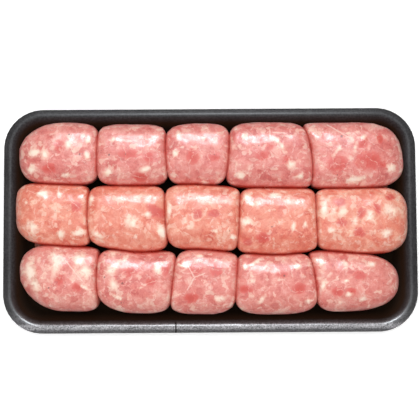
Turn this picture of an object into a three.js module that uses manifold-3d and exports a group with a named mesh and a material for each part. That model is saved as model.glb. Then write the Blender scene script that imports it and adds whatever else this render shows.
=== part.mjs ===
// A string of fresh pork sausage links, folded to and fro in three rows in a black foam tray.
//
// Millimetres. X runs along the tray, +Y points to its back edge and +Z is up.
// The origin is the middle of the tray's flat underside.

import * as THREE from "three";
import { mergeVertices } from "three/addons/utils/BufferGeometryUtils.js";
import Module from "manifold-3d";

const wasm = await Module();
wasm.setup();

// Tray
const TRAY_LENGTH = 273;
const TRAY_WIDTH = 148;
const TRAY_HEIGHT = 20;
const TRAY_CORNER = 26; // radius of the rim's corners, seen from above
const FLOOR_THICKNESS = 4;
const WALL_THICKNESS = 3.1;
const WALL_RUN = 10.8; // the wall leans in by this much from its crest to the floor
const LIP_WIDTH = 4.9; // from the outer edge to the crest where the wall turns down
const LIP_DROP = 1.2; // the lip's outer edge lies this much below its crest
const LIP_THICKNESS = 2.6;
const LIP_ROUND = 0.8;
const CREST_WIDTH = 1.1; // the level strip along the top of the rim
const CREST_ROUND = 1.2;
const FOOT_ROUND = 3.5; // where the wall meets the floor, inside and underneath
const ROUND_SHARE = 0.4; // a rounding takes no more than this much of a straight side
const CORNER_STEPS = 8;

// Links
const GAP = 0.3; // between two surfaces that touch
const FLOOR_TOP = FLOOR_THICKNESS;
const LINK_BOTTOM = FLOOR_TOP + GAP;
const WAIST = 22.5; // height of a link's widest level
const TOP_POWER = 2.7; // 2 is an ellipse, more is boxier: the link's upper side
const BOTTOM_POWER = 2.8; // the lower side, flattened where it lies
const PRESSED_CORNER = 7; // a corner between four links, seen from above
const OPEN_CORNER = 4; // a corner on the outer side of the lay
const LINK_SIDES = 20;
const LINK_RINGS = 14;
const END_PRESS = 1.2; // how much two ends flatten each other above the waist
const TUCK = 3.2; // how far the underside draws in where a link faces the tray's leaning wall
const TUCK_CURVE = 1.5;
const LUMP_HEIGHT = 0.5;
const LUMP_LENGTH = 13;
const LUMP_SHIFTS = [1.7, 0.9]; // moves the lumps on from link to link, so no two look alike

// Twists of casing between the links
const TWIST_RADIUS = 3;
const TWIST_LENGTH = 9;
const TWIST_SIDES = 10;
const TWIST_LEVEL = 14; // height of the twists between the links of a row
const DIMPLE_DEPTH = 2;
const DIMPLE_RADIUS = 5;
const FOLD_HEIGHT = 11.5; // where the string turns back, low between the ends of two rows
const FOLD_REACH = 9; // from the middle of a fold into either link
const FOLD_INSET = 13; // from the row's end to the fold
const TAIL_LENGTH = 3.6; // the tied stub past each end of the string
const TAIL_DEPTH = 0.58; // how far under the waist it leaves, as a share of the link's lower half
const TAIL_TAPER = 0.7;
const TAIL_SPAN = [0.7, 0.86]; // its start and the skin it leaves by, as shares of half the link

// The four long lines of the lay, as y at chosen x: behind the back row, between the rows,
// and in front of the front row.
const BACK_LINE = [
  [-112, 64.0], [-92, 64.2], [-50, 62.8], [-5, 63.2], [36, 63.6], [80, 63.1], [105, 63.4],
];
const BACK_SEAM = [
  [-125, 24.7], [-98, 23.3], [-50, 22.1], [-12, 22.8], [18, 20.9], [60, 20.0], [98, 19.7],
  [125, 21.1],
];
const FRONT_SEAM = [
  [-125, -14.1], [-95, -16.8], [-70, -18.1], [-46, -21.0], [-10, -19.3], [20, -21.9], [45, -23.3],
  [72, -21.0], [98, -22.7], [125, -22.5],
];
const FRONT_LINE = [
  [-100, -58.9], [-88, -59.3], [-46, -60.8], [-5, -61.6], [42, -62.0], [68, -61.3], [95, -60.0],
  [110, -58.9],
];

// Each row from its left end to its right end. A seam crosses the row at the x given by at,
// its back end stands lean further right than its middle, and both ends bend right by bow.
// A link has the height of its top and, where a corner isn't pressed between links, its power.
const ROWS = [
  {
    back: BACK_LINE,
    front: BACK_SEAM,
    seams: [
      { at: -124.7, lean: 0, bow: 0 },
      { at: -72.8, lean: 0.4, bow: 0.3 },
      { at: -28.4, lean: -0.9, bow: 1.6 },
      { at: 12.2, lean: 2.0, bow: -1.4 },
      { at: 67.1, lean: -3.0, bow: -3.2 },
      { at: 126.2, lean: -3.1, bow: -0.7 },
    ],
    links: [
      { top: 37.2, leftBack: 1.95, leftFront: 3.5, rightFront: 4.5 },
      { top: 37.9, leftBack: 3.6, leftFront: 4.6 },
      { top: 37.3, leftBack: 3.1 },
      { top: 38.0, rightBack: 5.8, leftFront: 10, rightFront: 12 },
      { top: 37.5, leftBack: 9, leftFront: 12, rightBack: 2.75, rightFront: 3.1 },
    ],
  },
  {
    back: BACK_SEAM,
    front: FRONT_SEAM,
    seams: [
      { at: -126.2, lean: 0, bow: 0 },
      { at: -79.4, lean: -0.2, bow: 1.7 },
      { at: -28.9, lean: -1.2, bow: 1.4 },
      { at: 19.2, lean: 1.0, bow: -0.7 },
      { at: 69.2, lean: -0.9, bow: 0.5 },
      { at: 128.8, lean: 0, bow: 0 },
    ],
    links: [
      { top: 37.0, leftBack: 4.2, leftFront: 3.0, rightBack: 10 },
      { top: 37.6, rightBack: 4.6, leftFront: 4.4 },
      { top: 37.9, leftBack: 4.8, rightBack: 12, leftFront: 4.0 },
      { top: 37.3, leftBack: 5.0, rightBack: 9 },
      { top: 37.8, rightBack: 3.3, rightFront: 3.3 },
    ],
  },
  {
    back: FRONT_SEAM,
    front: FRONT_LINE,
    seams: [
      { at: -123.8, lean: -2.4, bow: 0 },
      { at: -74.1, lean: 0.1, bow: 1.8 },
      { at: -24.1, lean: 2.6, bow: 0 },
      { at: 16.7, lean: 1.4, bow: 0.3 },
      { at: 68.6, lean: -2.8, bow: -1.6 },
      { at: 122.4, lean: 0, bow: 0 },
    ],
    links: [
      { top: 37.4, leftBack: 2.3, leftFront: 1.85, rightBack: 14, rightFront: 6 },
      { top: 37.8, leftBack: 4.2, leftFront: 2.3 },
      { top: 37.2, leftBack: 3.7, rightFront: 3 },
      { top: 37.9, leftFront: 3.4, rightFront: 3.4, rightBack: 5 },
      { top: 37.3, leftBack: 14, leftFront: 3.8, rightBack: 2.15, rightFront: 2.4 },
    ],
  },
];

const mix = (a, b, t) => a + (b - a) * t;

// A smooth curve y(x) through a few points, level beyond the first and the last.
function along(points, x) {
  const last = points.length - 1;
  if (x <= points[0][0]) return points[0][1];
  if (x >= points[last][0]) return points[last][1];
  const i = points.findIndex((point) => point[0] > x) - 1;
  const slope = (j) => {
    const before = points[Math.max(j - 1, 0)];
    const after = points[Math.min(j + 1, last)];
    return (after[1] - before[1]) / (after[0] - before[0]);
  };
  const [x0, y0] = points[i];
  const [x1, y1] = points[i + 1];
  const span = x1 - x0;
  const t = (x - x0) / span;
  const ease = t * t * (3 - 2 * t);
  const bend = (t * (1 - t) * (slope(i) * (1 - t) - slope(i + 1) * t)) * span;
  return mix(y0, y1, ease) + bend;
}

// Where a seam stands at v, which runs from -1 at the row's front to 1 at its back.
const seamAt = (seam, v) => seam.at + seam.lean * v + seam.bow * v * v;

// How far a direction has to be stretched to reach the link's rounded box: one power rounds
// its corners seen from above, the other its upper or lower side.
function reach(row, number, u, v, w) {
  const name = (u < 0 ? "left" : "right") + (v < 0 ? "Front" : "Back");
  const open = v < 0 ? row.front === FRONT_LINE : row.back === BACK_LINE;
  const corner = row.links[number][name] ?? (open ? OPEN_CORNER : PRESSED_CORNER);
  const power = w < 0 ? BOTTOM_POWER : TOP_POWER;
  const plan = Math.pow(Math.abs(u), corner) + Math.pow(Math.abs(v), corner);
  return Math.pow(Math.pow(plan, power / corner) + Math.pow(Math.abs(w), power), -1 / power);
}

// From a link's own coordinates, each between -1 and 1, to its place in the tray.
function place(row, number, u, v, w) {
  const link = row.links[number];
  const pressedEnd = u < 0 ? number > 0 : number < row.links.length - 1;
  const press = 1 + (pressedEnd ? END_PRESS * Math.pow(Math.max(w, 0), 2) : 0);
  const pushed = Math.sign(u) * (1 - Math.pow(1 - Math.abs(u), press));
  const left = seamAt(row.seams[number], v) + GAP / 2;
  const right = seamAt(row.seams[number + 1], v) - GAP / 2;
  const height = w > 0 ? link.top - WAIST : WAIST - LINK_BOTTOM;
  const z = WAIST + w * height;
  const halfWidth = (along(row.back, (left + right) / 2) - along(row.front, (left + right) / 2)) / 2;
  const fromTwist = Math.hypot(v * halfWidth, z - TWIST_LEVEL);
  const pressedSide = v < 0 ? row.front !== FRONT_LINE : row.back !== BACK_LINE;
  const tuck = TUCK * Math.pow(Math.max(-w, 0), TUCK_CURVE);
  const dimple = DIMPLE_DEPTH * Math.exp(-Math.pow(fromTwist / DIMPLE_RADIUS, 2));
  const x = mix(left, right, (pushed + 1) / 2) - Math.sign(u) * (pressedEnd ? dimple : tuck * u * u);
  const side = mix(along(row.front, x) + GAP / 2, along(row.back, x) - GAP / 2, (v + 1) / 2);
  const y = side - (pressedSide ? 0 : Math.sign(v) * tuck * v * v);
  const [shiftX, shiftY] = LUMP_SHIFTS.map((shift) => shift * number);
  const lump = Math.sin(x / LUMP_LENGTH + shiftX) * Math.cos(y / LUMP_LENGTH + shiftY);
  return new THREE.Vector3(x, y, z + Math.max(w, 0) * LUMP_HEIGHT * lump);
}

// One link: a sphere with its poles at the link's two ends, drawn out to the rounded box.
function linkGeometry(row, number) {
  const geometry = new THREE.SphereGeometry(1, LINK_SIDES, LINK_RINGS);
  geometry.rotateZ(-Math.PI / 2);
  const points = geometry.attributes.position;
  for (let i = 0; i < points.count; i += 1) {
    const [u, v, w] = [points.getX(i), points.getY(i), points.getZ(i)];
    const stretch = reach(row, number, u, v, w);
    points.setXYZ(i, ...place(row, number, u * stretch, v * stretch, w * stretch));
  }
  return geometry;
}

// A round stub of twisted casing from one point to another.
function twistGeometry(start, end, startRadius = TWIST_RADIUS, endRadius = TWIST_RADIUS) {
  const axis = new THREE.Vector3().subVectors(end, start);
  const geometry = new THREE.CylinderGeometry(endRadius, startRadius, axis.length(), TWIST_SIDES);
  const upright = new THREE.Vector3(0, 1, 0);
  const turn = new THREE.Quaternion().setFromUnitVectors(upright, axis.clone().normalize());
  geometry.applyQuaternion(turn);
  const middle = new THREE.Vector3().addVectors(start, end).multiplyScalar(0.5);
  return geometry.translate(...middle);
}

// The stub through the seam between two links of one row.
function seamTwist(row, number) {
  const seam = row.seams[number].at;
  const y = (along(row.back, seam) + along(row.front, seam)) / 2;
  const half = TWIST_LENGTH / 2;
  return twistGeometry(
    new THREE.Vector3(seam - half, y, TWIST_LEVEL),
    new THREE.Vector3(seam + half, y, TWIST_LEVEL),
  );
}

// Where the string turns back into the next row: a stub across the seam, low at the row's end.
function foldTwist(seamLine, x) {
  const y = along(seamLine, x);
  return twistGeometry(
    new THREE.Vector3(x, y - FOLD_REACH, FOLD_HEIGHT),
    new THREE.Vector3(x, y + FOLD_REACH, FOLD_HEIGHT),
  );
}

// The tied stub at an end of the string, tucked under the end of its link.
function tailTwist(row, number, side) {
  const [inside, tip] = TAIL_SPAN.map((share) => place(row, number, side * share, 0, -TAIL_DEPTH));
  tip.x += side * TAIL_LENGTH;
  return twistGeometry(inside, tip, TWIST_RADIUS, TWIST_RADIUS * TAIL_TAPER);
}

function toManifold(geometry) {
  const bare = geometry.clone();
  bare.deleteAttribute("normal");
  bare.deleteAttribute("uv");
  const merged = mergeVertices(bare, 1e-4);
  const corners = merged.index.array;
  const whole = [];
  for (let i = 0; i < corners.length; i += 3) {
    const [a, b, c] = [corners[i], corners[i + 1], corners[i + 2]];
    if (a !== b && b !== c && c !== a) whole.push(a, b, c);
  }
  return new wasm.Manifold(
    new wasm.Mesh({
      numProp: 3,
      vertProperties: new Float32Array(merged.attributes.position.array),
      triVerts: new Uint32Array(whole),
    }),
  );
}

function fromManifold(solid) {
  const { vertProperties, triVerts } = solid.getMesh();
  const geometry = new THREE.BufferGeometry();
  geometry.setAttribute("position", new THREE.BufferAttribute(new Float32Array(vertProperties), 3));
  geometry.setIndex(new THREE.BufferAttribute(new Uint32Array(triVerts), 1));
  geometry.computeVertexNormals();
  return geometry;
}

function stringGeometry() {
  const [back, middle, front] = ROWS;
  const lastLink = back.links.length - 1;
  const pieces = [
    foldTwist(BACK_SEAM, middle.seams.at(-1).at - FOLD_INSET),
    foldTwist(FRONT_SEAM, middle.seams[0].at + FOLD_INSET),
    tailTwist(back, 0, -1),
    tailTwist(front, lastLink, 1),
  ];
  for (const row of ROWS) {
    row.links.forEach((link, number) => {
      pieces.push(linkGeometry(row, number));
      if (number > 0) pieces.push(seamTwist(row, number));
    });
  }
  return fromManifold(pieces.map(toManifold).reduce((whole, piece) => whole.add(piece)));
}

// A level ring of the tray, set in from the rim's outer edge.
function trayRing(inset, z) {
  const radius = TRAY_CORNER - inset;
  const halfLength = TRAY_LENGTH / 2 - TRAY_CORNER;
  const halfWidth = TRAY_WIDTH / 2 - TRAY_CORNER;
  const ring = [];
  const corners = [[1, 1], [-1, 1], [-1, -1], [1, -1]];
  corners.forEach(([sx, sy], quarter) => {
    for (let step = 0; step <= CORNER_STEPS; step += 1) {
      const angle = (quarter + step / CORNER_STEPS) * (Math.PI / 2);
      ring.push([sx * halfLength + radius * Math.cos(angle), sy * halfWidth + radius * Math.sin(angle), z]);
    }
  });
  return ring;
}

// Replaces every corner of a line but its first and last by three points of a soft curve.
function softened(corners) {
  return corners.slice(1, -1).flatMap(([inset, z, round], i) => {
    const corner = new THREE.Vector2(inset, z);
    const [before, after] = [corners[i], corners[i + 2]].map((other) => {
      const side = new THREE.Vector2(other[0] - inset, other[1] - z);
      return side.setLength(Math.min(round, side.length() * ROUND_SHARE)).add(corner);
    });
    const middle = corner.clone().multiplyScalar(2).add(before).add(after).divideScalar(4);
    return [before, middle, after];
  });
}

// The tray's section, from the underside out and over the lip to the floor. A corner has its
// inset from the rim's outer edge, its height and its rounding.
function traySection() {
  const edgeTop = TRAY_HEIGHT - LIP_DROP;
  const edgeUnder = edgeTop - LIP_THICKNESS;
  const slope = WALL_RUN / (TRAY_HEIGHT - FLOOR_TOP);
  const levelThickness = WALL_THICKNESS * Math.hypot(1, slope);
  const outerWall = (z) => LIP_WIDTH + (TRAY_HEIGHT - z) * slope - levelThickness;
  return softened([
    [TRAY_CORNER, 0],
    [outerWall(0), 0, FOOT_ROUND],
    [outerWall(edgeUnder), edgeUnder, CREST_ROUND],
    [0, edgeUnder, LIP_ROUND],
    [0, edgeTop, LIP_ROUND],
    [LIP_WIDTH - CREST_WIDTH, TRAY_HEIGHT, CREST_ROUND],
    [LIP_WIDTH, TRAY_HEIGHT, CREST_ROUND],
    [LIP_WIDTH + WALL_RUN, FLOOR_TOP, FOOT_ROUND],
    [TRAY_CORNER, FLOOR_TOP],
  ]);
}

function trayGeometry() {
  const rings = traySection().map((point) => trayRing(point.x, point.y));
  const count = rings[0].length;
  const points = rings.flat();
  const index = [];
  for (let r = 0; r < rings.length - 1; r += 1) {
    for (let i = 0; i < count; i += 1) {
      const next = (i + 1) % count;
      const [a, b] = [r * count + i, r * count + next];
      const [c, d] = [a + count, b + count];
      index.push(a, b, c, b, d, c);
    }
  }
  const under = points.push([0, 0, 0]) - 1;
  const floor = points.push([0, 0, FLOOR_TOP]) - 1;
  const inner = (rings.length - 1) * count;
  for (let i = 0; i < count; i += 1) {
    const next = (i + 1) % count;
    index.push(under, next, i);
    index.push(floor, inner + i, inner + next);
  }
  const geometry = new THREE.BufferGeometry();
  geometry.setAttribute("position", new THREE.Float32BufferAttribute(points.flat(), 3));
  geometry.setIndex(index);
  geometry.computeVertexNormals();
  return geometry;
}

const blackFoam = new THREE.MeshStandardMaterial({ color: 0x3c3c3e, roughness: 0.7, metalness: 0 });
const rawSausage = new THREE.MeshStandardMaterial({ color: 0xe8a293, roughness: 0.35, metalness: 0 });

const tray = new THREE.Mesh(trayGeometry(), blackFoam);
tray.name = "tray";

const sausageString = new THREE.Mesh(stringGeometry(), rawSausage);
sausageString.name = "sausage_string";

const pack = new THREE.Group();
pack.name = "sausage_links_in_tray";
pack.add(tray, sausageString);

export default pack;
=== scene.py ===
# %% [markdown]
# A pack of fresh pork sausages seen from above: one long string of short, plump links, folded to
# and fro in three rows of five in a black foam tray. The frame holds the solids at their true
# size. This script dresses them: every link gets a fine skin with coarse pork showing through it,
# and the tray gets its soft rim and the fine cells of foam.

# %% Start from the frame
import math
import bmesh
import bpy
import numpy as np
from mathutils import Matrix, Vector, noise


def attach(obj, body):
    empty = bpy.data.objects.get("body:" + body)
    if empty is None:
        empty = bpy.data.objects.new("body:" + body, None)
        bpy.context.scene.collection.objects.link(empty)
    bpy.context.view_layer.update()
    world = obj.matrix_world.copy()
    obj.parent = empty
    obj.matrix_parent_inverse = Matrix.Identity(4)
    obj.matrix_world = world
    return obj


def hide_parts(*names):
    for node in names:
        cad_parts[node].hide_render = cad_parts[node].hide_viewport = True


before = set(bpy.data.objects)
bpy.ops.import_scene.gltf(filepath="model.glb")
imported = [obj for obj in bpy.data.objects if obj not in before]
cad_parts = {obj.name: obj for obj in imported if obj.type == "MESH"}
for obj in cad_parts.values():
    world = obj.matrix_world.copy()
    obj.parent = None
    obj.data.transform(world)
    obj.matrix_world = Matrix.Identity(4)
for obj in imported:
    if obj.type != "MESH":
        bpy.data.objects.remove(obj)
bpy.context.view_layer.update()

MM = 0.001

# %% [markdown]
# The camera hangs about 600 mm over the rim, a little towards the front edge, so it looks down
# almost square. The picture shows 277 mm of the rim's level from side to side, which gives the
# lens, and the tray's long side rises a third of a degree to the right, which gives the roll.

# %% Camera
RIM_HEIGHT = 18 * MM
CAMERA_OVER_RIM = 595 * MM
CAMERA_Y = -29.5 * MM
AIM_Y = 6.6 * MM
PICTURE_WIDTH = 277.6 * MM
CAMERA_ROLL = math.radians(0.35)
SENSOR_WIDTH = 36

scene = bpy.context.scene
camera_data = bpy.data.cameras.new("camera")
camera = bpy.data.objects.new("camera", camera_data)
scene.collection.objects.link(camera)
scene.camera = camera
camera.location = (0, CAMERA_Y, RIM_HEIGHT + CAMERA_OVER_RIM)
sight = Vector((0, AIM_Y, RIM_HEIGHT)) - camera.location
camera.rotation_euler = sight.to_track_quat("-Z", "Y").to_euler()
camera.rotation_euler.rotate_axis("Z", -CAMERA_ROLL)
camera_data.sensor_width = SENSOR_WIDTH
camera_data.lens = SENSOR_WIDTH * sight.length / PICTURE_WIDTH
print("lens", round(camera_data.lens, 1), "mm")

# %% [markdown]
# A pack on a white table under studio light. The lamp behind it, about 35 degrees off the
# vertical, shines in reflections alone and leaves the bright streak on the back of each link. A
# wide, faint one overhead does the same for the sheen of the rim. The three fills light the meat
# evenly and aren't mirrored in it. The ray visibility of a lamp's object says so, which is simpler
# than putting screens between the lamps and the meat.

# %% Light
NEUTRAL = (1.0, 1.0, 1.0)
COOL = (0.90, 0.95, 1.0)
SKY_STRENGTH = 0.26
LIT_MIDDLE = Vector((0, 0, 0.02))

scene.view_settings.view_transform = "Standard"
world = bpy.data.worlds.new("studio")
scene.world = world
world.use_nodes = True
sky = world.node_tree.nodes["Background"]
sky.inputs["Color"].default_value = (1, 1, 1, 1)
sky.inputs["Strength"].default_value = SKY_STRENGTH


def lamp(name, place, width, depth, power, colour=NEUTRAL):
    """A rectangular lamp that faces the middle of the pack, in metres and watts."""
    data = bpy.data.lights.new(name, "AREA")
    data.shape = "RECTANGLE"
    data.size = width
    data.size_y = depth
    data.energy = power
    data.color = colour
    shade = bpy.data.objects.new(name, data)
    scene.collection.objects.link(shade)
    shade.location = place
    shade.rotation_euler = (LIT_MIDDLE - shade.location).to_track_quat("-Z", "Y").to_euler()
    return shade


lamp("back_lamp", (0.0, 0.60, 0.92), 0.34, 0.46, 8.5, COOL).visible_diffuse = False
lamp("back_fill", (0.0, 0.95, 0.70), 0.9, 0.5, 5.2).visible_glossy = False
lamp("front_fill", (-0.3, -0.8, 0.9), 1.2, 0.8, 3.4).visible_glossy = False
lamp("top_fill", (0.0, 0.0, 1.4), 0.8, 0.6, 11.0).visible_glossy = False
lamp("top_sheen", (0.0, 0.1, 1.5), 1.8, 1.6, 5.0, COOL).visible_diffuse = False

# %% [markdown]
# Shader maths reads best as plain arithmetic. A Signal wraps one output socket, and an operator
# on signals adds the Math node that does it.

# %% Signals


class Signal:
    """One output socket of a material's nodes, on which arithmetic can be done."""

    def __init__(self, finish, socket):
        self.finish = finish
        self.socket = socket

    def __add__(self, other):
        return self.finish.maths("ADD", self, other)

    def __sub__(self, other):
        return self.finish.maths("SUBTRACT", self, other)

    def __rsub__(self, other):
        return self.finish.maths("SUBTRACT", other, self)

    def __mul__(self, other):
        return self.finish.maths("MULTIPLY", self, other)

    __radd__ = __add__


print("signals can be added, subtracted and multiplied")

# %% [markdown]
# A Finish is one material in the making. Its add method puts in any node, and the others are
# short names for the nodes that these finishes use again and again. All sizes are millimetres on
# the real object, so that a pattern keeps its scale whatever the shape of the piece.

# %% Finishes


class Finish:
    """A material under construction, ended by one Principled surface."""

    def __init__(self, name):
        self.material = bpy.data.materials.new(name)
        self.material.use_nodes = True
        self.tree = self.material.node_tree
        self.tree.nodes.clear()

    def add(self, kind, settings=None, sockets=None, output=0):
        """Puts in one node: its settings first, then values or links, and gives one output."""
        node = self.tree.nodes.new("ShaderNode" + kind)
        for name, value in (settings or {}).items():
            if name == "stops":
                self.set_stops(node.color_ramp.elements, value)
            else:
                setattr(node, name, value)
        for key, value in (sockets or {}).items():
            if isinstance(value, Signal):
                self.tree.links.new(value.socket, node.inputs[key])
            else:
                node.inputs[key].default_value = value
        return Signal(self, node.outputs[output])

    def set_stops(self, elements, stops):
        while len(elements) < len(stops):
            elements.new(0.5)
        for element, (position, colour) in zip(elements, stops):
            element.position = position
            element.color = colour

    def maths(self, operation, first, second):
        return self.add("Math", {"operation": operation}, {0: first, 1: second})

    def vector(self, operation, first, second, output="Vector"):
        """Vector maths. The second value is a number for SCALE, and a vector for the others."""
        key = "Scale" if operation == "SCALE" else 1
        return self.add("VectorMath", {"operation": operation}, {0: first, key: second}, output)

    def largest(self, signals):
        top = signals[0]
        for signal in signals[1:]:
            top = self.maths("MAXIMUM", top, signal)
        return top

    def step(self, value, low, high):
        """0 below low, 1 above high, and a smooth slope between them."""
        sockets = {"Value": value, "From Min": low, "From Max": high}
        return self.add("MapRange", {"interpolation_type": "SMOOTHSTEP"}, sockets)

    def mix(self, share, under, over):
        """One colour over another by a share from 0 to 1."""
        return self.add("Mix", {"data_type": "RGBA"}, {0: share, 6: under, 7: over}, 2)

    def ramp(self, value, stops):
        return self.add("ValToRGB", {"stops": stops}, {"Fac": value}, "Color")

    def place(self):
        """The point on the object, in millimetres."""
        return self.vector("SCALE", self.add("TexCoord", output="Object"), 1 / MM)

    def axis(self, point, name):
        return self.add("SeparateXYZ", None, {"Vector": point}, name)

    def flat(self, point):
        """The point as it is seen from above, without its height."""
        return self.vector("MULTIPLY", point, (1.0, 1.0, 0.0))

    def noise(self, point, size, detail=2.0, rough=0.5, output="Fac"):
        """Cloudy noise whose lumps are about size millimetres."""
        sockets = {"Vector": point, "Scale": 1.0 / size, "Detail": detail, "Roughness": rough}
        return self.add("TexNoise", None, sockets, output)

    def cells(self, point, size, feature="F1"):
        """The distance in Voronoi cells about size millimetres across."""
        sockets = {"Vector": point, "Scale": 1.0 / size}
        return self.add("TexVoronoi", {"feature": feature}, sockets, "Distance")

    def lumps(self, point, size):
        """A patchwork of pieces about size millimetres across, each with its own tone."""
        sockets = {"Vector": point, "Scale": 1.0 / size, "Smoothness": 0.6}
        colour = self.add("TexVoronoi", {"feature": "SMOOTH_F1"}, sockets, "Color")
        return self.add("SeparateColor", None, {"Color": colour}, "Red")

    def shifted(self, point, size, reach):
        """The same point pushed about by up to half of reach millimetres."""
        centred = self.vector("SUBTRACT", self.noise(point, size, output="Color"), (0.5, 0.5, 0.5))
        return self.vector("ADD", point, self.vector("SCALE", centred, reach))

    def near(self, flat_point, x, y, reach):
        """1 at one place seen from above, 0 at reach millimetres from it."""
        gap = self.vector("DISTANCE", flat_point, (x, y, 0.0), "Value")
        return self.step(gap, reach, reach * 0.5)

    def thread(self, flat_point, start, end, reach):
        """1 on a line between two places seen from above, 0 at reach millimetres from it."""
        start = Vector((*start, 0.0))
        line = Vector((*end, 0.0)) - start
        off = self.vector("SUBTRACT", flat_point, tuple(start))
        run = self.vector("DOT_PRODUCT", off, tuple(line / line.length_squared), "Value")
        share = self.add("Clamp", None, {"Value": run}, "Result")
        gap = self.vector("DISTANCE", off, self.vector("SCALE", tuple(line), share), "Value")
        return self.step(gap, reach, reach * 0.4)

    def attribute(self, name):
        """A number that the mesh keeps for each of its points."""
        return self.add("Attribute", {"attribute_name": name}, output="Fac")

    def bump(self, height, strength, depth):
        """Relief for the light alone, up to depth millimetres."""
        sockets = {"Strength": strength, "Distance": depth * MM, "Height": height}
        return self.add("Bump", None, sockets, "Normal")

    def surface(self, sockets):
        """Ends the material in one Principled surface."""
        shader = self.add("BsdfPrincipled", None, sockets, "BSDF")
        end = self.tree.nodes.new("ShaderNodeOutputMaterial")
        self.tree.links.new(shader.socket, end.inputs["Surface"])
        return self.material


print("a finish can use", [name for name in vars(Finish) if not name.startswith("_")])

# %% [markdown] The table is a plain white sheet, wide enough to fill the picture. It is seen by
# the camera but throws no light upwards, so the gaps between the links stay dark.

# %% The white table
TABLE_HALF = 3.0
TABLE_WHITE = (0.93, 0.93, 0.93, 1)
TABLE_GLOW = 0.3


def piece_from(bm, name):
    """Turns a bmesh into an object that stands at the origin."""
    mesh = bpy.data.meshes.new(name)
    bm.to_mesh(mesh)
    bm.free()
    piece = bpy.data.objects.new(name, mesh)
    scene.collection.objects.link(piece)
    return piece


table_mesh = bmesh.new()
bmesh.ops.create_grid(table_mesh, x_segments=1, y_segments=1, size=TABLE_HALF)
table = piece_from(table_mesh, "white_table")
table.data.materials.append(Finish("white_table").surface({
    "Base Color": TABLE_WHITE,
    "Roughness": 0.9,
    "Emission Color": (1, 1, 1, 1),
    "Emission Strength": TABLE_GLOW,
}))
table.visible_glossy = False
table.visible_diffuse = False
print("table", 2 * TABLE_HALF, "m square")

# %% [markdown]
# Raw pork in a thin natural casing. The eye reads it in layers: a pink ground that drifts between
# pale and deep, red lean pieces with soft edges, cream fat in chunks up to 8 mm and in fine
# flecks, a few pepper specks, and a moist skin over it all. The middle row is a little more
# peach than the others, so there are two ramps of tones.

# %% Tones of the meat
MEAT_TONES = [
    (0.20, (0.58, 0.115, 0.100, 1)),
    (0.36, (0.68, 0.190, 0.165, 1)),
    (0.50, (0.75, 0.260, 0.225, 1)),
    (0.62, (0.79, 0.345, 0.295, 1)),
    (0.76, (0.85, 0.500, 0.410, 1)),
    (0.92, (0.93, 0.710, 0.575, 1)),
]
PEACH_TONES = [
    (0.20, (0.64, 0.120, 0.080, 1)),
    (0.36, (0.74, 0.203, 0.136, 1)),
    (0.50, (0.79, 0.272, 0.190, 1)),
    (0.62, (0.83, 0.346, 0.250, 1)),
    (0.76, (0.88, 0.495, 0.362, 1)),
    (0.92, (0.94, 0.700, 0.550, 1)),
]
# The sizes of the noises, and how far two of them push a point about, all in millimetres.
TEAR_SIZE = 6.0
TEAR_REACH = 7.0
FRAY_SIZE = 1.8
FRAY_REACH = 2.4
DRIFT_SIZE = 14.0
LARGE_SIZE = 6.5
SMALL_SIZE = 2.9
MOTTLE_SIZE = 2.2
GRAIN_SIZE = 1.0
GROUND_WEIGHTS = {"drift": 0.25, "large": 0.28, "small": 0.24, "mottle": 0.46, "grain": 0.34}
GROUND_OFFSET = 0.28


def meat_noises(finish):
    """The noises that the layers of the meat share."""
    point = finish.place()
    torn = finish.shifted(point, TEAR_SIZE, TEAR_REACH)
    frayed = finish.shifted(torn, FRAY_SIZE, FRAY_REACH)
    return {
        "point": point,
        "torn": torn,
        "frayed": frayed,
        "drift": finish.noise(torn, DRIFT_SIZE),
        "large": finish.lumps(frayed, LARGE_SIZE),
        "small": finish.lumps(frayed, SMALL_SIZE),
        "mottle": finish.noise(frayed, MOTTLE_SIZE, 4.0, 0.7),
        "grain": finish.noise(point, GRAIN_SIZE, 3.0, 0.65),
    }


def weighted(noises, weights):
    """Adds up noises, each by its weight."""
    return sum(noises[name] * weight for name, weight in weights.items())


def ground_colour(finish, noises):
    """The meat between the chunks, from deep to pale."""
    tone = weighted(noises, GROUND_WEIGHTS) - GROUND_OFFSET + finish.attribute("paleness")
    pinks = finish.ramp(tone, MEAT_TONES)
    return finish.mix(finish.attribute("peach"), pinks, finish.ramp(tone, PEACH_TONES))


print("tones", len(MEAT_TONES), "pink,", len(PEACH_TONES), "peach")

# %% [markdown]
# The largest chunks have their own places on each link, held as smooth fields on the mesh. Noise
# breaks their edges here, so they look torn rather than drawn. A chunk is laid on in two coats: a
# wide thin one, and a strong one over its middle. Between the chunks of lean lie fine flecks.

# %% Lean and fat
LEAN_RED = (0.68, 0.105, 0.085, 1)
LEAN_CORE = (0.60, 0.072, 0.055, 1)
FAT_CREAM = (0.96, 0.73, 0.585, 1)
FAT_WHITE = (1.0, 0.87, 0.75, 1)
# Each coat as the depth where it starts, the depth where it is full, its strength and its colour.
LEAN_COATS = [(0.16, 0.48, 0.8, LEAN_RED), (0.38, 0.80, 0.7, LEAN_CORE)]
FAT_COATS = [(0.08, 0.84, 0.85, FAT_CREAM), (0.50, 1.05, 0.7, FAT_WHITE)]
RAGGED_WEIGHTS = {"small": 0.35, "mottle": 0.55}
RAGGED_OFFSET = 0.45
FLECK_SIZE = 3.2
FLECK_EDGE = (0.84, 1.10)
FLECK_STRENGTH = 0.42


def coated(finish, colour, depth, coats):
    """Lays coats over a colour, by the depth in a chunk."""
    for start, full, strength, coat in coats:
        colour = finish.mix(finish.step(depth, start, full) * strength, colour, coat)
    return colour


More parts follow.
